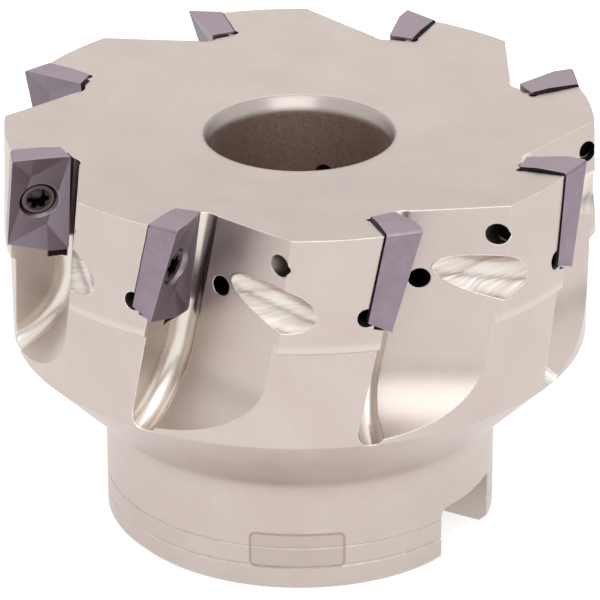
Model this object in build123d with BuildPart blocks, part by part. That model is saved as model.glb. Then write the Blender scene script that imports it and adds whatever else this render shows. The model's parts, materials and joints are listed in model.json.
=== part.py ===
from build123d import *
import math
import os

# Face mill, 63 mm cutting diameter, eight indexable inserts, arbor bore with a driving keyway.
# Millimetres. The mounting face is at z = 0, the cutting face is up, the keyway runs along X.

# cutter body
cut_radius = 31.5
tooth_count = 8
first_tooth_angle = 7.5
tooth_pitch = 360 / tooth_count
hub_radius = 20.65
hub_chamfer = 0.9
cone_foot_height = 12.05
cone_foot_rounding = 4.5
cone_top_rounding = 5.0
skirt_radius = 30.2
cone_top_height = cone_foot_height + skirt_radius - hub_radius
skirt_top_radius = 30.35
land_step_height = 32.1
land_radius = 30.9
land_top_radius = 30.55
face_edge_height = 44.55
face_slope = 0.076
face_centre_height = face_edge_height - face_slope * land_top_radius

# arbor seat and bolt counterbore
bore_radius = 11.0
bore_depth = 20.0
bore_chamfer = 0.8
web_radius = 5.5
counterbore_radius = 9.2
counterbore_floor = 30.0
counterbore_lead = 0.8
counterbore_lead_depth = 1.25
keyway_width = 10.4
keyway_depth = 6.3
keyway_corner = 0.9

# seat of one insert, in the frame of its tooth
seat_centre = (27.85, -4.33, 39.99)
seat_lean = 12.0
seat_turn = 7.0
seat_gap = 0.02
tooth_face_level = 2.0

# chip flute in front of one insert
wall_angle = 68.0
wall_slope = 0.093
runout_centre = (31.85, 29.55)
runout_radius = 8.0
gutter_radius = 1.475
gutter_level = tooth_face_level + gutter_radius
gutter_offset = (2.55, 4.0)
gutter_tilt = -0.54
gutter_bend_height = -13.4
gutter_bend_radius = 8.3

# holes of one tooth
driver_radius = 2.4
driver_start = (0.35, -0.12, 3)
driver_direction = (-0.037, 0.016, 1)
screw_hole_radius = 1.275
screw_hole_depth = 7.3
tap_hole_radius = 1.08
tap_hole_centre = (0, -0.3)
coolant_radius = 1.02
coolant_mouth = (25.75, 2.15, 37.05)
coolant_root = (8.4, 0.9, 34.3)
corner_relief_radius = 0.98
edge_relief_radius = 0.45
slot_width = 0.42
slot_floor_level = 0.9

# insert, measured from the middle of its seat face: x inwards, y along the cutting edge, z up
nose = Vector(-3.09, 5.94, 3.56)
wiper_end = Vector(-0.89, 5.87, 3.53)
inner_corner = Vector(3.22, 5.11, 2.68)
outer_corner = Vector(-3.22, -5.11, 2.68)
nose_seat = Vector(-2.49, 4.87, 0)
inner_seat = Vector(2.55, 4.55, 0)
floor_level = 2.68
floor_corner = Vector(-0.9, 3.05, floor_level)
nose_rounding = 0.4
seat_edge_chamfer = 0.15
insert_hole_radius = 1.4
cone_half_angle = 30.0
cone_gap = 0.03

# clamping screw, M2.5
screw_radius = 1.25
screw_root_radius = 1.02
screw_pitch = 0.45
screw_head_radius = 1.8
screw_head_level = 2.42
screw_head_rim = 0.2
screw_tip_level = -6.9
socket_radius = 1.17
socket_lobe_radius = 0.34
socket_depth = 0.95
cone_slope = math.tan(math.radians(cone_half_angle))
insert_cone_radius = screw_head_radius + cone_gap + (floor_level - screw_head_level + screw_head_rim) * cone_slope

os.makedirs("parts", exist_ok=True)


def seat_frame(level=0.0):
    """Plane of the insert seat: x towards the axis, y up along the tooth, z out of the tooth."""
    lean = math.radians(seat_lean)
    turn = math.radians(seat_turn)
    out = (math.cos(lean) * math.sin(turn), math.cos(lean) * math.cos(turn), -math.sin(lean))
    inwards = (-math.cos(turn), math.sin(turn), 0)
    return Plane(origin=seat_centre, x_dir=inwards, z_dir=out).offset(level)


def gutter_frame(level=0.0):
    """Plane like the seat frame, with y up along the gutter of the tooth."""
    seat = seat_frame(level)
    origin = seat.from_local_coords((*gutter_offset, 0))
    across = seat.x_dir.rotate(Axis((0, 0, 0), seat.z_dir), gutter_tilt)
    return Plane(origin=origin, x_dir=across, z_dir=seat.z_dir)


def half_turn(point):
    return Vector(-point.X, -point.Y, point.Z)


def facet(a, b, c, outward):
    """Plane through three points with its normal on the outward side."""
    normal = (b - a).cross(c - a)
    if normal.dot(Vector(*outward)) < 0:
        normal = normal * -1
    return Plane(origin=a, x_dir=b - a, z_dir=normal)


major_flank = facet(nose, outer_corner, nose_seat, (-1, 0, 0))
wiper_flank = facet(nose, wiper_end, nose_seat, (0, 1, 0))
ramp_flank = facet(wiper_end, inner_corner, inner_seat, (0, 1, 0))
inner_flank = facet(half_turn(nose), inner_corner, half_turn(nose_seat), (1, 0, 0))
low_wiper_flank = facet(half_turn(nose), half_turn(wiper_end), half_turn(nose_seat), (0, -1, 0))
low_ramp_flank = facet(half_turn(wiper_end), outer_corner, half_turn(inner_seat), (0, -1, 0))
seat_location = seat_frame().location

# ---------------------------------------------------------------- cutting tools of one tooth

# chip flute: straight slanted wall with a round run-out at the foot
wall = math.radians(wall_angle)
wall_plane = Plane(
    origin=(0, 0, 0),
    x_dir=(math.sin(wall), -math.cos(wall), 0),
    z_dir=(-math.cos(wall), -math.sin(wall), 0),
)
wall_tilt = math.atan(wall_slope)
wall_foot = (
    runout_centre[0] - runout_radius * math.cos(wall_tilt),
    runout_centre[1] - runout_radius * math.sin(wall_tilt),
)
wall_top = (wall_foot[0] - wall_slope * (50 - wall_foot[1]), 50)
runout_mid = (
    runout_centre[0] - runout_radius * math.cos(math.radians(45)),
    runout_centre[1] - runout_radius * math.sin(math.radians(45)),
)
runout_end = (runout_centre[0], runout_centre[1] - runout_radius)
with BuildPart() as flute:
    with BuildSketch(wall_plane):
        with BuildLine():
            Line(wall_top, wall_foot)
            ThreePointArc(wall_foot, runout_mid, runout_end)
            Polyline(runout_end, (48, runout_end[1]), (48, 50), wall_top)
        make_face()
    extrude(amount=40, both=True)
    split(bisect_by=seat_frame(gutter_level), keep=Keep.TOP)

# flat front face of the tooth, and the round gutter along its root that runs out with the flute
gutter_low = gutter_bend_height - gutter_bend_radius
outer_end = -gutter_bend_radius - 9
bend = gutter_bend_radius * math.sin(math.radians(45))
with BuildPart() as tooth_face:
    with BuildSketch(gutter_frame(tooth_face_level)):
        with BuildLine():
            Line((0, 8), (0, gutter_bend_height))
            ThreePointArc(
                (0, gutter_bend_height),
                (bend - gutter_bend_radius, gutter_bend_height - bend),
                (-gutter_bend_radius, gutter_low),
            )
            Polyline((-gutter_bend_radius, gutter_low), (outer_end, gutter_low), (outer_end, 8), (0, 8))
        make_face()
    extrude(amount=gutter_radius + 0.05)
with BuildPart() as gutter:
    with BuildLine(gutter_frame(gutter_level)) as gutter_path:
        Line((0, 8), (0, gutter_bend_height))
        ThreePointArc(
            (0, gutter_bend_height),
            (bend - gutter_bend_radius, gutter_bend_height - bend),
            (-gutter_bend_radius, gutter_low),
        )
        Line((-gutter_bend_radius, gutter_low), (outer_end, gutter_low))
    with BuildSketch(Plane(origin=gutter_path.line @ 0, z_dir=gutter_path.line % 0)):
        Circle(gutter_radius)
    sweep()

# clearance slot beside the insert's inner flank and under its inner lower corner
with BuildPart() as side_slot:
    with BuildSketch(Plane.XY.offset(slot_floor_level)):
        with Locations((-4, 1.9)):
            Rectangle(20, 14.2)
        with Locations((3.65, -6.0)):
            Rectangle(4.7, 3.6)
    extrude(amount=gutter_level - 0.5 - slot_floor_level)
    split(bisect_by=inner_flank.offset(slot_width), keep=Keep.BOTTOM)

# insert pocket: seat face, inner shoulder and lower shoulder
with BuildPart() as pocket:
    with Locations((-4, 2, 1.6 - seat_gap)):
        Box(20, 24, 3.2)
    for shoulder in (inner_flank, low_wiper_flank, low_ramp_flank):
        split(bisect_by=shoulder.offset(seat_gap), keep=Keep.BOTTOM)
    add(side_slot.part)
    with Locations(Location((-2.5, -4.1, 0), (0, 90, 0))):
        Cylinder(corner_relief_radius, 11)
    with Locations(Location((2.6, 1.5, 0.15), (90, 0, 0))):
        Cylinder(edge_relief_radius, 12)
    with BuildSketch(Plane.XY.offset(1)):
        Circle(screw_hole_radius)
    extrude(amount=-screw_hole_depth - 1)
    with BuildSketch(Plane.XY.offset(0.3 - screw_hole_depth)):
        with Locations(tap_hole_centre):
            Circle(tap_hole_radius)
    extrude(amount=-5)
    with BuildSketch(Plane(origin=driver_start, z_dir=driver_direction)):
        Circle(driver_radius)
    extrude(amount=22)

# coolant outlet beside the gutter
coolant_direction = Vector(*coolant_mouth) - Vector(*coolant_root)
with BuildPart() as coolant:
    with BuildSketch(Plane(origin=coolant_root, z_dir=coolant_direction)):
        Circle(coolant_radius)
    extrude(amount=coolant_direction.length + 1.2)

# ---------------------------------------------------------------- cutter body

with BuildPart() as cutter_body:
    # turned outside: hub, cone, skirt, land and slightly dished face
    with BuildSketch(Plane.XZ) as outline:
        with BuildLine():
            Polyline(
                (0, 0),
                (hub_radius, 0),
                (hub_radius, cone_foot_height),
                (skirt_radius, cone_top_height),
                (skirt_top_radius, land_step_height),
                (land_radius, land_step_height + 0.35),
                (land_top_radius, face_edge_height),
                (0, face_centre_height),
                (0, 0),
            )
        make_face()
        cone_foot = outline.vertices().sort_by_distance((hub_radius, cone_foot_height))[0]
        cone_top = outline.vertices().sort_by_distance((skirt_radius, cone_top_height))[0]
        fillet(cone_foot, radius=cone_foot_rounding)
        fillet(cone_top, radius=cone_top_rounding)
        chamfer(outline.vertices().sort_by_distance((hub_radius, 0))[0], length=hub_chamfer)
    revolve(axis=Axis.Z)

    # two scribed lines round the hub
    with BuildSketch(Plane.XZ):
        with Locations((hub_radius, 2.9)):
            Rectangle(0.24, 0.22)
        with Locations((hub_radius, 5.1)):
            Rectangle(0.12, 0.16)
    revolve(axis=Axis.Z, mode=Mode.SUBTRACT)

    # arbor bore, bolt hole and counterbore with a bright lead-in
    counterbore_rim = face_edge_height - face_slope * (land_top_radius - counterbore_radius)
    with BuildSketch(Plane.XZ):
        with BuildLine():
            Polyline(
                (0, -1),
                (bore_radius + bore_chamfer, -1),
                (bore_radius + bore_chamfer, 0),
                (bore_radius, bore_chamfer),
                (bore_radius, bore_depth),
                (web_radius, bore_depth),
                (web_radius, counterbore_floor),
                (counterbore_radius, counterbore_floor),
                (counterbore_radius, counterbore_rim - counterbore_lead_depth),
                (counterbore_radius + counterbore_lead, counterbore_rim + 0.06),
                (counterbore_radius + counterbore_lead, 50),
                (0, 50),
                (0, -1),
            )
        make_face()
    revolve(axis=Axis.Z, mode=Mode.SUBTRACT)

    # driving keyway across the mounting face
    with BuildSketch(Plane.YZ) as keyway:
        with Locations((0, keyway_depth / 2 - 1)):
            Rectangle(keyway_width, keyway_depth + 2)
        fillet(keyway.vertices().group_by(Axis.Z)[-1], radius=keyway_corner)
    extrude(amount=hub_radius + 2, both=True, mode=Mode.SUBTRACT)

    # eight teeth
    with PolarLocations(0, tooth_count, start_angle=first_tooth_angle):
        add(flute.part, mode=Mode.SUBTRACT)
    with PolarLocations(0, tooth_count, start_angle=first_tooth_angle):
        add(tooth_face.part, mode=Mode.SUBTRACT)
    with PolarLocations(0, tooth_count, start_angle=first_tooth_angle):
        add(gutter.part, mode=Mode.SUBTRACT)
    with PolarLocations(0, tooth_count, start_angle=first_tooth_angle):
        add(coolant.part, mode=Mode.SUBTRACT)
    with PolarLocations(0, tooth_count, start_angle=first_tooth_angle):
        with Locations(seat_location):
            add(pocket.part, mode=Mode.SUBTRACT)

cutter_body.part.label = "cutter_body"
export_step(cutter_body.part, "parts/cutter_body.step")

# ---------------------------------------------------------------- insert

# chip groove of one cutting corner: two overlapping faceted cuts above the floor
edge_facet = facet(nose, outer_corner, floor_corner, (0, 0, 1))
wiper_facet = facet(nose, wiper_end, floor_corner, (0, 0, 1))
ramp_facet = facet(wiper_end, inner_corner, floor_corner, (0, 0, 1))
middle = facet(outer_corner, inner_corner, Vector(0, 0, 0), (-1, 1, 0))
chip_grooves = []
for tip_facet in (wiper_facet, ramp_facet):
    with BuildPart() as chip_groove:
        with Locations((0, 0, floor_level + 2)):
            Box(16, 20, 4)
        split(bisect_by=edge_facet, keep=Keep.TOP)
        split(bisect_by=tip_facet, keep=Keep.TOP)
        split(bisect_by=middle, keep=Keep.TOP)
    chip_grooves.append(chip_groove.part)

with BuildPart() as insert_blank:
    with Locations((0, 0, 2)):
        Box(12, 16, 4)
    for flank in (major_flank, wiper_flank, ramp_flank, inner_flank, low_wiper_flank, low_ramp_flank):
        split(bisect_by=flank, keep=Keep.BOTTOM)
    for tip in (nose, half_turn(nose)):
        upright = insert_blank.edges().filter_by(lambda edge: abs(edge.tangent_at(0.5).Z) > 0.8)
        fillet(upright.sort_by_distance(tip)[0], radius=nose_rounding)
    chamfer(insert_blank.faces().sort_by(Axis.Z)[0].edges(), length=seat_edge_chamfer)
    for chip_cut in chip_grooves:
        add(chip_cut, mode=Mode.SUBTRACT)
        add(chip_cut, rotation=(0, 0, 180), mode=Mode.SUBTRACT)
    cone_depth = (insert_cone_radius - insert_hole_radius) / cone_slope
    with BuildSketch(Plane.XZ):
        with BuildLine():
            Polyline(
                (0, -1),
                (insert_hole_radius, -1),
                (insert_hole_radius, floor_level - cone_depth),
                (insert_cone_radius, floor_level),
                (insert_cone_radius, 5),
                (0, 5),
                (0, -1),
            )
        make_face()
    revolve(axis=Axis.Z, mode=Mode.SUBTRACT)

# ---------------------------------------------------------------- clamping screw

with BuildPart() as screw_blank:
    head_foot = screw_head_level - screw_head_rim
    neck_level = head_foot - (screw_head_radius - screw_radius) / cone_slope
    thread_count = int((neck_level - 0.6 - screw_tip_level) / screw_pitch)
    with BuildSketch(Plane.XZ):
        with BuildLine():
            Polyline(
                (0, screw_tip_level),
                (screw_root_radius - 0.1, screw_tip_level),
                (screw_radius, screw_tip_level + 0.35),
                (screw_radius, neck_level),
                (screw_head_radius, head_foot),
                (screw_head_radius, screw_head_level - 0.05),
                (screw_head_radius - 0.12, screw_head_level),
                (0, screw_head_level),
                (0, screw_tip_level),
            )
        make_face()
    revolve(axis=Axis.Z)
    with BuildSketch(Plane.XZ):
        with GridLocations(0, screw_pitch, 1, thread_count):
            with BuildLine():
                Polyline(
                    (screw_radius + 0.02, -3.9),
                    (screw_root_radius, -3.72),
                    (screw_radius + 0.02, -3.54),
                    (screw_radius + 0.02, -3.9),
                )
            make_face()
    revolve(axis=Axis.Z, mode=Mode.SUBTRACT)
    with BuildSketch(Plane.XY.offset(screw_head_level)):
        Circle(socket_radius - socket_lobe_radius)
        with PolarLocations(socket_radius - socket_lobe_radius, 6):
            Circle(socket_lobe_radius)
    extrude(amount=-socket_depth, mode=Mode.SUBTRACT)

# ---------------------------------------------------------------- placed inserts and screws

for number in range(1, tooth_count + 1):
    turn = Location((0, 0, 0), (0, 0, first_tooth_angle + (number - 1) * tooth_pitch))
    with BuildPart() as insert:
        with Locations(turn * seat_location):
            add(insert_blank.part)
    insert.part.label = f"insert_{number}"
    export_step(insert.part, f"parts/insert_{number}.step")
    with BuildPart() as screw:
        with Locations(turn * seat_location):
            add(screw_blank.part)
    screw.part.label = f"insert_screw_{number}"
    export_step(screw.part, f"parts/insert_screw_{number}.step")
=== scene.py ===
import bpy
import json
import math
from mathutils import Matrix, Vector

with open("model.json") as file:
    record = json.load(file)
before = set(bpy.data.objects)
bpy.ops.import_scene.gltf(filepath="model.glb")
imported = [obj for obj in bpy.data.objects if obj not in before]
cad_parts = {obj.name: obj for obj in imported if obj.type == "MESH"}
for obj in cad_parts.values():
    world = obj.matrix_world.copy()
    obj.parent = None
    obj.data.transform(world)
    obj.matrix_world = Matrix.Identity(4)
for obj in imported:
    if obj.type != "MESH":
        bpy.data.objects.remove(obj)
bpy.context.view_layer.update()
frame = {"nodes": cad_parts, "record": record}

# camera: degrees, metres, the lens in millimetres
AZIMUTH = 29.816
ELEVATION = 25.309
ROLL = -0.127
DISTANCE = 0.48277
AIM = Vector((0, 0, 0.025))
LENS = 274.7
SENSOR_WIDTH = 36
SHIFT = (0.00045, -0.01845)

# studio: a pale floor that glows a little, one soft light, surroundings as (height, brightness)
FLOOR_HALF_SIZE = 2.0
FLOOR_GREY = 0.4
FLOOR_GLOW = 0.75
KEY_LIGHT = {"azimuth": AZIMUTH + 10, "elevation": 45, "distance": 0.9, "size": 0.8, "power": 2.8}
LIGHT_COLOUR = (0.92, 0.97, 1.0)
SKY = ((0.0, 0.45), (0.1, 0.6), (0.32, 1.2), (0.82, 1.25), (1.0, 1.7))

# one tooth of the cutter, millimetres and degrees, as the CAD model has it
TEETH = 8
FIRST_TOOTH = 7.5
TOOTH_BEHIND = 14.0
SEAT_CENTRE = (27.85, -4.33, 39.99)
SEAT_LEAN = 12.0
SEAT_TURN = 7.0
TOOTH_FACE_LEVEL = 2.0
GUTTER_RADIUS = 1.475
GUTTER_LEVEL = 3.475
GUTTER_OFFSET = (2.55, 4.0)
GUTTER_TILT = math.radians(-0.54)
GUTTER_BEND_RADIUS = 8.3
GUTTER_BEND_HEIGHT = -13.4
DRIVER_START = (0.35, -0.12, 3.0)
DRIVER_DIRECTION = (-0.037, 0.016, 1.0)
DRIVER_RADIUS = 2.4
SCREW_HOLE_RADIUS = 1.34
TAP_RADIUS = 1.08
TAP_HEIGHT = -0.3
TAP_LEVEL = -5.0
COOLANT_ROOT = (8.4, 0.9, 34.3)
COOLANT_MOUTH = (25.75, 2.15, 37.05)
COOLANT_RADIUS = 1.02
SLOT_ACROSS = (2.7, 3.3)
SLOT_LEVEL = -1.06
FOOT_ACROSS = (1.3, 3.2)
FOOT_ALONG = (-7.75, -5.6)
FOOT_LEVEL = -0.55
POCKET_WALL_LEVEL = 0.6

# the rest of the body
BORE_RADIUS = 11.0
COUNTERBORE_RADIUS = 9.2
COUNTERBORE_LEAD = 0.8
COUNTERBORE_RIM = 41.75
RIM_WIDTH = 2.0
RIM_DEPTH = 1.2
LAND_STEP = 32.1
LAND_INNER_RADIUS = 30.5
HUB_RADIUS = 20.65
BADGE_ANGLE = math.radians(-61.1)
BADGE_HEIGHT = 4.75
BADGE_HALF_WIDTH = 5.1
BADGE_HALF_HEIGHT = 2.1
BADGE_CORNER = 0.8
BADGE_LINE = 0.26
TURNING_PITCH = 0.14

# insert and screw
COUNTERSINK_RADIUS = 2.1
SHADE_RADIUS = 1.87
SHADE_LEVEL = 0.14
SCREW_HEAD_LEVEL = 2.42
SOCKET_FLOOR = 1.47
SOCKET_FLOOR_RADIUS = 0.45
SCREW_RING = (1.4, 1.64)
SCREW_RIM = 1.74

# how far the bevelled normal turns where the painted wear and highlight on an edge starts, and where it is
# full
EDGE_TURN = (0.02, 0.25)
BODY_EDGE = 0.22
RIM_EDGE = 0.9
INSERT_EDGE = 0.1
SCREW_EDGE = 0.08

# colours, sRGB in 0 to 255
BLASTED = ((190, 177, 170), (198, 186, 179))
BLASTED_SPECKLE = (176, 163, 156)
BRIGHT = ((202, 192, 183), (214, 206, 198))
SWEPT = ((184, 169, 159), (216, 208, 201))
BORE_SHADE = ((164, 144, 135), (188, 168, 158))
LEAD_IN = (166, 156, 150)
LAND_FOOT_HIGHLIGHT = (214, 204, 197)
CLEARANCE_SHADE = (112, 98, 102)
OUTLET_SHADE = (138, 125, 119)
HOLE_SHADE = (26, 21, 20)
WORN_AND_HIGHLIGHT = (246, 241, 236)
BADGE_FIELD = (160, 144, 136)
BADGE_OUTLINE = (140, 122, 114)
COATING = ((136, 122, 133), (148, 134, 144))
COATING_SPECKLE = (112, 100, 111)
COATING_TOP_LIGHT = (152, 136, 145)
COATING_RAKE_SHADE = (127, 116, 125)
COUNTERSINK_HIGHLIGHT = (176, 170, 174)
INSERT_SHADE = (24, 20, 22)
COATING_WORN_AND_HIGHLIGHT = (214, 203, 208)
SCREW = ((58, 52, 54), (84, 77, 79))
SOCKET_SHADE = (30, 26, 27)
SOCKET_FLOOR_LIGHT = (98, 93, 95)
SCREW_RING_HIGHLIGHT = (128, 122, 124)
SCREW_RIM_SHADE = (18, 15, 16)


class Graph:
    """A material under construction: each call adds one shader node and returns its output."""

    def __init__(self, name):
        self.material = bpy.data.materials.new(name)
        self.material.use_nodes = True
        self.tree = self.material.node_tree
        self.tree.nodes.clear()

    def add(self, kind, inputs=None, out=0, **settings):
        node = self.tree.nodes.new("ShaderNode" + kind)
        for key, value in settings.items():
            setattr(node, key, value)
        for key, value in (inputs or {}).items():
            if isinstance(value, bpy.types.NodeSocket):
                self.tree.links.new(value, node.inputs[key])
            else:
                node.inputs[key].default_value = value
        return node.outputs[out]

    def math(self, operation, *values, clamp=False):
        return self.add("Math", dict(enumerate(values)), operation=operation, use_clamp=clamp)

    def vector(self, operation, *values):
        out = 1 if operation in ("DOT_PRODUCT", "LENGTH", "DISTANCE") else 0
        return self.add("VectorMath", dict(enumerate(values)), out=out, operation=operation)

    def scaled(self, vector, factor):
        return self.add("VectorMath", {0: vector, "Scale": factor}, operation="SCALE")

    def step(self, value, low, high):
        """0 below low, 1 above high, smooth between them; low may be the larger."""
        return self.add(
            "MapRange", {"Value": value, "From Min": low, "From Max": high}, interpolation_type="SMOOTHSTEP"
        )

    def below(self, value, limit, soft):
        """1 below the limit, falling to 0 over soft above it."""
        return self.step(value, limit + soft, limit)

    def above(self, value, limit, soft):
        """1 above the limit, falling to 0 over soft below it."""
        return self.step(value, limit - soft, limit)

    def band(self, value, limits, soft):
        """1 between two limits, falling to 0 over soft outside them."""
        return self.both(self.above(value, limits[0], soft), self.below(value, limits[1], soft))

    def both(self, *masks):
        result = masks[0]
        for mask in masks[1:]:
            result = self.math("MULTIPLY", result, mask)
        return result

    def mix(self, factor, a, b):
        return self.add("Mix", {0: factor, 2: a, 3: b}, data_type="FLOAT")

    def blend(self, factor, a, b, mode="MIX"):
        return self.add("Mix", {0: factor, 6: a, 7: b}, out=2, data_type="RGBA", blend_type=mode)

    def combine(self, x, y, z):
        return self.add("CombineXYZ", {0: x, 1: y, 2: z})

    def split(self, vector):
        node = self.add("SeparateXYZ", {0: vector}).node
        return node.outputs[0], node.outputs[1], node.outputs[2]

    def noise(self, vector, scale, detail=2.0, roughness=0.5):
        return self.add(
            "TexNoise", {"Vector": vector, "Scale": scale, "Detail": detail, "Roughness": roughness}
        )

    def spread(self, value, low, high):
        """A noise value around a half, stretched to run from low to high."""
        return self.add(
            "MapRange", {"Value": value, "From Min": 0.3, "From Max": 0.7, "To Min": low, "To Max": high}
        )

    def mottled(self, noise, pair):
        """A colour that wanders between a pair of sRGB colours."""
        return self.blend(self.spread(noise, 0.0, 1.0), colour(*pair[0]), colour(*pair[1]))

    def bump(self, height, depth, normal):
        """Relief of a height in 0 to 1, its depth in millimetres."""
        inputs = {"Strength": 1.0, "Distance": depth / 1000, "Height": height, "Normal": normal}
        return self.add("Bump", inputs)

    def surface(self, **inputs):
        names = {key.replace("_", " ").title().replace("Ior", "IOR"): value for key, value in inputs.items()}
        shader = self.add("BsdfPrincipled", names)
        self.add_output(shader)
        return self.material

    def add_output(self, shader):
        output = self.tree.nodes.new("ShaderNodeOutputMaterial")
        self.tree.links.new(shader, output.inputs["Surface"])


def colour(red, green, blue):
    """Shader colour of an sRGB colour given in 0 to 255."""
    return tuple(((level / 255 + 0.055) / 1.055) ** 2.4 for level in (red, green, blue)) + (1.0,)


class Tooth:
    """Coordinates in the frame of the nearest tooth, in millimetres, for masks that repeat at every tooth."""

    def __init__(self, graph):
        self.graph = graph
        g = graph
        self.place = g.scaled(g.add("TexCoord", out=3), 1000.0)
        x, y, self.z = g.split(self.place)
        self.radius = g.math("SQRT", g.math("ADD", g.math("MULTIPLY", x, x), g.math("MULTIPLY", y, y)))
        self.angle = g.math("ARCTAN2", y, x)
        pitch = 2 * math.pi / TEETH
        behind = math.radians(TOOTH_BEHIND)
        from_first = g.math("SUBTRACT", self.angle, math.radians(FIRST_TOOTH))
        local = g.math("WRAP", from_first, pitch - behind, -behind)
        self.x = g.math("MULTIPLY", self.radius, g.math("COSINE", local))
        self.y = g.math("MULTIPLY", self.radius, g.math("SINE", local))
        self.point = g.combine(self.x, self.y, self.z)
        lean, turn = math.radians(SEAT_LEAN), math.radians(SEAT_TURN)
        out = Vector((math.cos(lean) * math.sin(turn), math.cos(lean) * math.cos(turn), -math.sin(lean)))
        inwards = Vector((-math.cos(turn), math.sin(turn), 0))
        along = out.cross(inwards)
        self.axes = [tuple(axis) for axis in (inwards, along, out)]
        self.seat = self.in_seat(self.point)
        ahead = g.add("VectorRotate", {"Vector": self.point, "Angle": -pitch}, rotation_type="Z_AXIS")
        self.seat_ahead = self.in_seat(ahead)
        self.seat_point = g.combine(*self.seat)
        self.out = tuple(out)
        step = g.math("SUBTRACT", self.angle, local)
        cosine, sine = g.math("COSINE", step), g.math("SINE", step)
        normal_x, normal_y, normal_z = g.split(g.add("TexCoord", out=1))
        self.normal = g.combine(
            g.math("ADD", g.math("MULTIPLY", normal_x, cosine), g.math("MULTIPLY", normal_y, sine)),
            g.math("SUBTRACT", g.math("MULTIPLY", normal_y, cosine), g.math("MULTIPLY", normal_x, sine)),
            normal_z,
        )
        self.upward = normal_z

    def in_seat(self, point):
        """Coordinates of a point from the middle of the seat: inwards, along the tooth, out of the seat."""
        offset = self.graph.vector("SUBTRACT", point, SEAT_CENTRE)
        return [self.graph.vector("DOT_PRODUCT", offset, axis) for axis in self.axes]

    def from_screw(self):
        """Distance from the screw's axis."""
        return self.graph.vector("LENGTH", self.graph.combine(self.seat[0], self.seat[1], 0.0))

    def from_line(self, point, start, direction):
        """Distance of a point from the line through start."""
        g = self.graph
        axis = Vector(direction).normalized()
        offset = g.vector("SUBTRACT", point, tuple(start))
        along = g.vector("DOT_PRODUCT", offset, tuple(axis))
        across = g.vector("SUBTRACT", offset, g.scaled(g.combine(*axis), along))
        return g.vector("LENGTH", across), along

    def from_gutter(self):
        """Distance from the middle line of the gutter."""
        g = self.graph
        offset = g.vector("SUBTRACT", self.seat_point, (*GUTTER_OFFSET, GUTTER_LEVEL))
        cosine, sine = math.cos(GUTTER_TILT), math.sin(GUTTER_TILT)
        x = g.vector("DOT_PRODUCT", offset, (cosine, sine, 0))
        y = g.vector("DOT_PRODUCT", offset, (-sine, cosine, 0))
        level = g.vector("DOT_PRODUCT", offset, (0, 0, 1))
        bend_x = g.math("ADD", x, GUTTER_BEND_RADIUS)
        bend_y = g.math("MINIMUM", g.math("SUBTRACT", y, GUTTER_BEND_HEIGHT), 0.0)
        reach = g.vector("LENGTH", g.combine(bend_x, bend_y, 0.0))
        across = g.math("SUBTRACT", reach, GUTTER_BEND_RADIUS)
        return g.vector("LENGTH", g.combine(across, level, 0.0)), across, level


def edge_light(g, radius):
    """Normal rounded over a radius in millimetres, and a mask that is 1 on the sharp edges."""
    rounded = g.add("Bevel", {"Radius": g.math("DIVIDE", radius, 1000.0)}, samples=6)
    flat = g.add("NewGeometry", out=1)
    turned = g.math("SUBTRACT", 1.0, g.vector("DOT_PRODUCT", rounded, flat))
    return rounded, g.step(turned, *EDGE_TURN)


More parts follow.
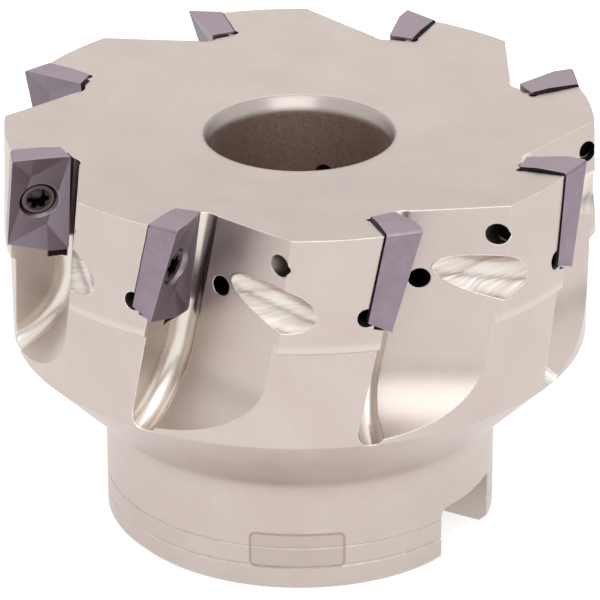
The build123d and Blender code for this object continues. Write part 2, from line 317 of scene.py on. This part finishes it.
class BodyZones:
    """Masks, each 1 on a place of the body that has a finish of its own, or where shade or a highlight is
    painted.
    """

    def __init__(self, g, tooth):
        self.g = g
        self.tooth = tooth
        self.find_gutter_and_scallop()
        self.find_holes()
        self.find_bore()
        self.find_badge()
        self.milled = g.math("MAXIMUM", g.math("MAXIMUM", self.gutter, self.scallop), self.lead_in)
        self.flat_top = g.above(tooth.upward, 0.97, 0.07)
        # where a painted highlight runs along the foot of the land
        self.land_foot_highlight = g.both(
            g.band(tooth.z, (LAND_STEP + 0.1, LAND_STEP + 0.7), 0.7),
            g.above(tooth.radius, LAND_INNER_RADIUS, 0.2),
        )

    def find_gutter_and_scallop(self):
        g, tooth = self.g, self.tooth
        distance, self.gutter_across, self.gutter_level = tooth.from_gutter()
        self.gutter = g.below(distance, GUTTER_RADIUS + 0.04, 0.05)
        distance, self.driver_along = tooth.from_line(tooth.seat_point, DRIVER_START, DRIVER_DIRECTION)
        self.scallop = g.both(
            g.below(distance, DRIVER_RADIUS + 0.02, 0.04),
            g.above(tooth.seat[2], TOOTH_FACE_LEVEL + 1.4, 0.4),
            g.above(tooth.radius, 21, 1),
        )

    def find_holes(self):
        """Painted shade: near-black in the holes and the clearance slot, paler in the screw hole's outlet,
        purple-grey at the slot's foot.
        """
        g, tooth = self.g, self.tooth
        direction = Vector(COOLANT_MOUTH) - Vector(COOLANT_ROOT)
        distance, along = tooth.from_line(tooth.point, COOLANT_ROOT, direction)
        coolant = g.both(g.below(distance, COOLANT_RADIUS, 0.05), g.above(along, 5, 2))
        screw_hole = g.both(
            g.below(tooth.from_screw(), SCREW_HOLE_RADIUS, 0.08),
            g.below(tooth.seat[2], 0.1, 0.3),
        )
        slot = g.both(
            g.band(tooth.seat[0], SLOT_ACROSS, 0.15),
            g.below(self.gutter_level, SLOT_LEVEL, 0.08),
            g.above(tooth.seat[1], -5.6, 0.3),
            g.below(tooth.z, COUNTERBORE_RIM + 0.1, 0.2),
        )
        self.shaded_holes = g.math("MAXIMUM", g.math("MAXIMUM", coolant, screw_hole), slot)
        x, y, level = tooth.seat_ahead
        from_tap = g.vector("LENGTH", g.combine(x, g.math("SUBTRACT", y, TAP_HEIGHT), 0.0))
        self.shaded_outlet = g.both(g.below(from_tap, TAP_RADIUS, 0.05), g.below(level, TAP_LEVEL, 1.0))
        self.foot_shade = g.both(
            g.band(tooth.seat[0], FOOT_ACROSS, 0.2),
            g.below(self.gutter_level, FOOT_LEVEL, 0.05),
            g.band(tooth.seat[1], FOOT_ALONG, 0.1),
            g.above(tooth.seat[2], POCKET_WALL_LEVEL, 0.2),
        )

    def find_bore(self):
        g, tooth = self.g, self.tooth
        self.inside = g.both(
            g.below(tooth.radius, BORE_RADIUS + 0.2, 0.1),
            g.below(tooth.z, COUNTERBORE_RIM - 0.35, 0.25),
        )
        self.lead_in = g.both(
            g.below(tooth.radius, COUNTERBORE_RADIUS + COUNTERBORE_LEAD, 0.05),
            g.above(tooth.z, COUNTERBORE_RIM, 0.3),
        )
        self.rim = g.both(
            g.below(tooth.radius, COUNTERBORE_RADIUS + RIM_WIDTH, 0.6),
            g.above(tooth.z, COUNTERBORE_RIM - RIM_DEPTH, 0.4),
        )

    def find_badge(self):
        """A plain rounded field on the hub, and its outline."""
        g, tooth = self.g, self.tooth
        turn = g.math("SUBTRACT", tooth.angle, BADGE_ANGLE)
        across = g.math("ABSOLUTE", g.math("MULTIPLY", turn, HUB_RADIUS))
        upward = g.math("ABSOLUTE", g.math("SUBTRACT", tooth.z, BADGE_HEIGHT))
        beyond = g.vector("LENGTH", g.combine(
            g.math("MAXIMUM", g.math("SUBTRACT", across, BADGE_HALF_WIDTH - BADGE_CORNER), 0.0),
            g.math("MAXIMUM", g.math("SUBTRACT", upward, BADGE_HALF_HEIGHT - BADGE_CORNER), 0.0),
            0.0,
        ))
        on_hub = g.above(tooth.radius, HUB_RADIUS - 0.2, 0.1)
        self.badge = g.both(g.below(beyond, BADGE_CORNER - 0.08, 0.08), on_hub)
        self.badge_line = g.both(self.badge, g.above(beyond, BADGE_CORNER - BADGE_LINE, 0.08))


class BodyPatterns:
    """Noises the body's colour, gloss and relief share."""

    def __init__(self, g, tooth, zones):
        self.clouds = g.noise(tooth.place, 0.16, 3.0, 0.55)
        self.speckle = g.noise(tooth.place, 3.2, 2.0, 0.6)
        self.grain = g.noise(tooth.place, 5.5, 3.0, 0.65)
        # lengthwise streaks of the gutter
        streak_place = g.combine(
            g.math("MULTIPLY", zones.gutter_across, 3.0),
            g.math("MULTIPLY", tooth.seat[1], 0.12),
            zones.gutter_level,
        )
        self.streaks = g.noise(streak_place, 0.9, 3.0, 0.55)
        # slanting, wavering cutter sweeps of the scallop
        sweep = g.math("ADD", zones.driver_along, g.math("MULTIPLY", tooth.seat[1], -1.9))
        sweep = g.math("ADD", sweep, g.math("MULTIPLY", g.noise(tooth.place, 0.3, 1.0), 2.4))
        sweep_place = g.combine(
            g.math("MULTIPLY", sweep, 0.85),
            g.math("MULTIPLY", zones.driver_along, 0.15),
            0.0,
        )
        self.sweeps = g.noise(sweep_place, 1.0, 1.5)
        self.wipes = g.mix(zones.gutter, g.mix(zones.scallop, self.speckle, self.sweeps), self.streaks)
        self.turning = g.math("SINE", g.math(
            "MULTIPLY", g.mix(zones.flat_top, tooth.z, tooth.radius), 2 * math.pi / TURNING_PITCH
        ))


def body_colour(g, tooth, zones, patterns, edges):
    blasted = g.mottled(patterns.clouds, BLASTED)
    blasted = g.blend(g.spread(patterns.speckle, 0.0, 0.2), blasted, colour(*BLASTED_SPECKLE))
    tint = g.blend(zones.scallop, blasted, g.mottled(patterns.sweeps, SWEPT))
    tint = g.blend(zones.gutter, tint, g.mottled(patterns.wipes, BRIGHT))
    tint = g.blend(zones.lead_in, tint, colour(*LEAD_IN))
    # painted highlight: a lighter strip along the foot of the land, where the fillet to the skirt catches
    # light
    tint = g.blend(g.math("MULTIPLY", zones.land_foot_highlight, 0.45), tint, colour(*LAND_FOOT_HIGHLIGHT))
    # painted shade: the inside of the bore is darker
    tint = g.blend(zones.inside, tint, g.mottled(patterns.speckle, BORE_SHADE))
    # painted shade: purple-grey in the clearance at the lower end of the seat, the slot's foot
    tint = g.blend(zones.foot_shade, tint, colour(*CLEARANCE_SHADE))
    # painted shade, paler: the screw hole's outlet on the wall of the tooth ahead
    tint = g.blend(zones.shaded_outlet, tint, colour(*OUTLET_SHADE))
    # painted shade: the holes and the clearance slot are near-black
    tint = g.blend(zones.shaded_holes, tint, colour(*HOLE_SHADE))
    # worn edges and painted highlight: sharp edges are near-white, except in the bore and on its rim
    worn_and_highlit = g.both(
        edges,
        g.spread(g.noise(tooth.place, 0.7), 0.35, 1.0),
        g.math("SUBTRACT", 1.0, g.math("MAXIMUM", zones.inside, zones.rim)),
    )
    tint = g.blend(worn_and_highlit, tint, colour(*WORN_AND_HIGHLIGHT))
    tint = g.blend(g.math("MULTIPLY", zones.badge, 0.25), tint, colour(*BADGE_FIELD))
    return g.blend(g.math("MULTIPLY", zones.badge_line, 0.5), tint, colour(*BADGE_OUTLINE))


def body_gloss(g, zones, patterns):
    rough = g.spread(patterns.clouds, 0.36, 0.44)
    rough = g.mix(zones.milled, rough, g.spread(patterns.wipes, 0.2, 0.32))
    rough = g.mix(zones.lead_in, rough, 0.27)
    rough = g.mix(zones.inside, rough, 0.5)
    return g.mix(zones.shaded_holes, rough, 0.7)


def body_relief(g, zones, patterns, rounded):
    """Blasted grain, faint turning marks, cutter marks in the scallops and gutters, the sunken badge."""
    plain = g.math("SUBTRACT", 1.0, zones.milled)
    normal = g.bump(g.math("MULTIPLY", patterns.grain, plain), 0.012, rounded)
    normal = g.bump(g.math("MULTIPLY", patterns.turning, plain), 0.00025, normal)
    normal = g.bump(g.math("MULTIPLY", patterns.sweeps, zones.scallop), 0.07, normal)
    normal = g.bump(g.math("MULTIPLY", patterns.streaks, zones.gutter), 0.0025, normal)
    sunken = g.math("SUBTRACT", g.math("MULTIPLY", zones.badge_line, 0.6), zones.badge)
    return g.bump(sunken, 0.05, normal)


def body_material():
    g = Graph("body_steel")
    tooth = Tooth(g)
    zones = BodyZones(g, tooth)
    patterns = BodyPatterns(g, tooth, zones)
    rounded, edges = edge_light(g, g.mix(zones.rim, BODY_EDGE, RIM_EDGE))
    return g.surface(
        base_color=body_colour(g, tooth, zones, patterns, edges),
        metallic=1.0,
        roughness=body_gloss(g, zones, patterns),
        normal=body_relief(g, zones, patterns, rounded),
    )


def insert_material():
    g = Graph("coated_carbide")
    tooth = Tooth(g)
    rounded, edges = edge_light(g, INSERT_EDGE)
    clouds = g.noise(tooth.seat_point, 0.5, 3.0, 0.6)
    grain = g.noise(tooth.seat_point, 9.0, 3.0, 0.65)
    tint = g.mottled(clouds, COATING)
    tint = g.blend(g.spread(grain, 0.0, 0.3), tint, colour(*COATING_SPECKLE))
    # painted light: faces turned upwards are paler
    lit_top = g.above(tooth.upward, 0.9, 0.1)
    tint = g.blend(lit_top, tint, colour(*COATING_TOP_LIGHT))
    # painted shade: the rake faces are darker
    rake = g.above(g.vector("DOT_PRODUCT", tooth.normal, tooth.out), 0.75, 0.2)
    tint = g.blend(rake, tint, colour(*COATING_RAKE_SHADE))
    from_screw = tooth.from_screw()
    # painted highlight: a pale ring of the countersink round the screw head
    lit_countersink = g.both(rake, g.below(from_screw, COUNTERSINK_RADIUS, 0.06))
    tint = g.blend(lit_countersink, tint, colour(*COUNTERSINK_HIGHLIGHT))
    # painted shade: near-black under the screw head and on the insert's lowest part at the seat
    round_screw = g.both(rake, g.below(from_screw, SHADE_RADIUS, 0.06))
    painted_shade = g.math("MAXIMUM", round_screw, g.below(tooth.seat[2], SHADE_LEVEL, 0.06))
    tint = g.blend(painted_shade, tint, colour(*INSERT_SHADE))
    # worn coating and painted highlight: the sharp edges are paler
    worn_and_highlit = g.math("MULTIPLY", edges, g.spread(clouds, 0.3, 0.8))
    tint = g.blend(worn_and_highlit, tint, colour(*COATING_WORN_AND_HIGHLIGHT))
    return g.surface(
        base_color=tint,
        metallic=1.0,
        roughness=g.spread(grain, 0.34, 0.46),
        normal=g.bump(grain, 0.006, rounded),
    )


def screw_material():
    g = Graph("screw_steel")
    tooth = Tooth(g)
    rounded = edge_light(g, SCREW_EDGE)[0]
    grain = g.noise(tooth.seat_point, 6.0, 3.0, 0.6)
    from_axis = tooth.from_screw()
    level = tooth.seat[2]
    tint = g.mottled(grain, SCREW)
    # painted shade: the socket below the head's top is near-black
    tint = g.blend(g.below(level, SCREW_HEAD_LEVEL - 0.5, 0.2), tint, colour(*SOCKET_SHADE))
    # painted light: the socket's floor is paler than its painted shade
    floor = g.both(
        g.below(level, SOCKET_FLOOR + 0.05, 0.05),
        g.below(from_axis, SOCKET_FLOOR_RADIUS, 0.3),
    )
    tint = g.blend(floor, tint, colour(*SOCKET_FLOOR_LIGHT))
    # painted highlight: a paler ring on the head
    highlight_ring = g.both(g.above(from_axis, SCREW_RING[0], 0.12), g.below(from_axis, SCREW_RING[1], 0.1))
    tint = g.blend(g.math("MULTIPLY", highlight_ring, 0.6), tint, colour(*SCREW_RING_HIGHLIGHT))
    # painted shade: the head's rim, where it meets the countersink, is near-black
    tint = g.blend(g.above(from_axis, SCREW_RIM, 0.08), tint, colour(*SCREW_RIM_SHADE))
    return g.surface(
        base_color=tint,
        metallic=1.0,
        roughness=g.spread(grain, 0.25, 0.38),
        normal=g.bump(grain, 0.01, rounded),
    )


def finish_nodes():
    by_slot = {
        "body_steel": body_material(),
        "coated_carbide": insert_material(),
        "screw_steel": screw_material(),
    }
    slots = {part["node"]: part["material_slot"] for part in frame["record"]["subparts"]}
    for name, node in frame["nodes"].items():
        for slot in node.material_slots:
            slot.material = by_slot[slots[name]]


def direction(azimuth, elevation):
    """Unit vector from the object towards a camera or light; azimuth 0 is from -Y, 90 is from +X."""
    azimuth, elevation = math.radians(azimuth), math.radians(elevation)
    return Vector((
        math.sin(azimuth) * math.cos(elevation),
        -math.cos(azimuth) * math.cos(elevation),
        math.sin(elevation),
    ))


def looking_back(away, distance):
    """Placing of a camera or light that looks at the aim from a distance."""
    return Matrix.Translation(AIM + away * distance) @ away.to_track_quat("Z", "Y").to_matrix().to_4x4()


def make_camera():
    data = bpy.data.cameras.new("camera")
    data.lens = LENS
    data.sensor_width = SENSOR_WIDTH
    data.shift_x, data.shift_y = SHIFT
    data.clip_start, data.clip_end = 0.01, 10
    camera = bpy.data.objects.new("camera", data)
    roll = Matrix.Rotation(math.radians(ROLL), 4, "Z")
    camera.matrix_world = looking_back(direction(AZIMUTH, ELEVATION), DISTANCE) @ roll
    bpy.context.scene.collection.objects.link(camera)
    bpy.context.scene.camera = camera


def make_floor():
    mesh = bpy.data.meshes.new("floor")
    size = FLOOR_HALF_SIZE
    corners = [(-size, -size, 0), (size, -size, 0), (size, size, 0), (-size, size, 0)]
    mesh.from_pydata(corners, [], [(0, 1, 2, 3)])
    floor = bpy.data.objects.new("floor", mesh)
    bpy.context.scene.collection.objects.link(floor)
    g = Graph("floor_white")
    diffuse = g.add("BsdfDiffuse", {"Color": (FLOOR_GREY, FLOOR_GREY, FLOOR_GREY, 1)})
    glow = g.add("Emission", {"Color": (1, 1, 1, 1), "Strength": FLOOR_GLOW})
    g.add_output(g.add("AddShader", {0: diffuse, 1: glow}))
    mesh.materials.append(g.material)


def make_light(name, azimuth, elevation, distance, size, power):
    """Soft square light that looks at the object."""
    data = bpy.data.lights.new(name, "AREA")
    data.shape = "SQUARE"
    data.size = size
    data.energy = power
    data.color = LIGHT_COLOUR
    light = bpy.data.objects.new(name, data)
    light.matrix_world = looking_back(direction(azimuth, elevation), distance)
    bpy.context.scene.collection.objects.link(light)


def make_world():
    """Studio surroundings: a darker horizon, brighter above."""
    world = bpy.data.worlds.new("world")
    world.use_nodes = True
    tree = world.node_tree
    place = tree.nodes.new("ShaderNodeTexCoord")
    split = tree.nodes.new("ShaderNodeSeparateXYZ")
    ramp = tree.nodes.new("ShaderNodeValToRGB")
    tree.links.new(place.outputs["Generated"], split.inputs[0])
    tree.links.new(split.outputs[2], ramp.inputs[0])
    tree.links.new(ramp.outputs[0], tree.nodes["Background"].inputs[0])
    elements = ramp.color_ramp.elements
    while len(elements) < len(SKY):
        elements.new(0.5)
    for element, (height, level) in zip(elements, SKY):
        element.position = height
        element.color = (level, level, level, 1)
    tree.nodes["Background"].inputs[1].default_value = 1.0
    bpy.context.scene.world = world


make_camera()
finish_nodes()
make_floor()
make_world()
make_light("key_light", **KEY_LIGHT)
bpy.context.scene.view_settings.view_transform = "Standard"
